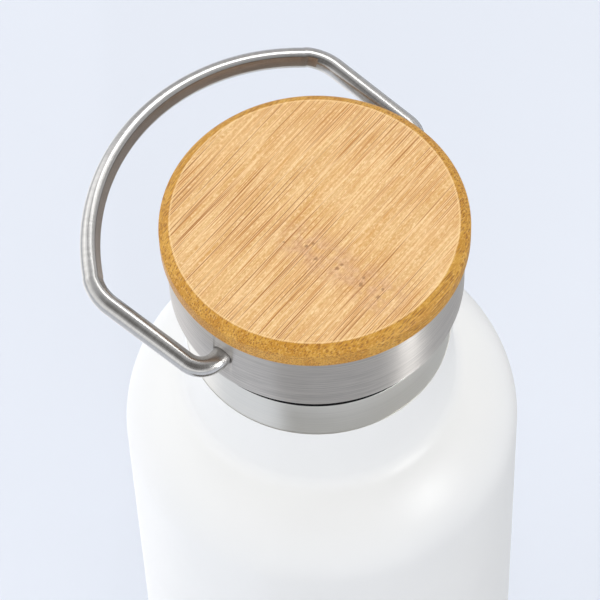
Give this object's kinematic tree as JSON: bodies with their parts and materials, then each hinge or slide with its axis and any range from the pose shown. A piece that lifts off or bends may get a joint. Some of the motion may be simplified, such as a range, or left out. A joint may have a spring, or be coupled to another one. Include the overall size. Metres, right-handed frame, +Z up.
{
  "type": "insulated water bottle",
  "caption": "Double-wall steel water bottle with a white coat, a screw cap topped by a bamboo disc, and a wire bail handle that swings over the cap.",
  "frame": {"origin": "centre of the flat base, on the bottle's axis, where the bottle stands", "axes": "+Z up the bottle's axis; +X along the handle's pivot axis; +Y is the side the handle leans to at rest"},
  "size_m": [0.073, 0.0773, 0.2033],
  "materials": {
    "white_coated_steel": "matte white powder coat over stainless steel",
    "satin_steel": "satin stainless steel",
    "brushed_cap_steel": "stainless steel brushed round the cap",
    "polished_wire_steel": "polished stainless wire",
    "bamboo": "clear-lacquered bamboo with a straight grain",
    "dark_moulded_plastic": "moulded polypropylene",
    "grey_nylon": "moulded nylon",
    "dark_silicone": "soft silicone",
    "white_foam": "expanded foam",
    "reflective_foil": "bright foil",
    "getter_metal": "dark sintered metal",
    "sealing_solder": "dull metal bead"
  },
  "bodies": {
    "bottle": {"outer_shell": "white_coated_steel", "outer_base_plate": "satin_steel", "base_cover_disc": "satin_steel", "vacuum_seal_plug": "sealing_solder", "getter_capsule": "getter_metal", "inner_flask": "satin_steel", "inner_flask_base": "satin_steel", "reflective_foil": "reflective_foil"},
    "seal": {"cap_gasket": "dark_silicone"},
    "cap": {"cap_core": "dark_moulded_plastic", "cap_shell": "brushed_cap_steel", "bamboo_disc": "bamboo", "plug_end_disc": "satin_steel", "insulation_puck": "white_foam", "cap_screw_1": "satin_steel", "cap_screw_2": "satin_steel", "cap_screw_3": "satin_steel", "pivot_bush_left": "grey_nylon", "pivot_bush_right": "grey_nylon"},
    "handle": {"bail_handle": "polished_wire_steel", "pivot_clip_left": "satin_steel", "pivot_clip_right": "satin_steel"}
  },
  "joints": [
    {"name": "cap_rise", "type": "slide", "parent": "bottle", "child": "seal", "axis": [0, 0, 1], "range_m": [0, 0.0101]},
    {"name": "cap_turn", "type": "hinge", "parent": "seal", "child": "cap", "pos_m": [0, 0, 0.1807], "axis": [0, 0, 1], "range_deg": [0, 900]},
    {"name": "handle_swing", "type": "hinge", "parent": "cap", "child": "handle", "pos_m": [0, 0, 0.19235], "axis": [1, 0, 0], "range_deg": [-57, 217.7]}
  ],
  "couplings": [
    {"joint": "cap_rise", "follows": "cap_turn", "m_per_rad": 0.00063662}
  ]
}
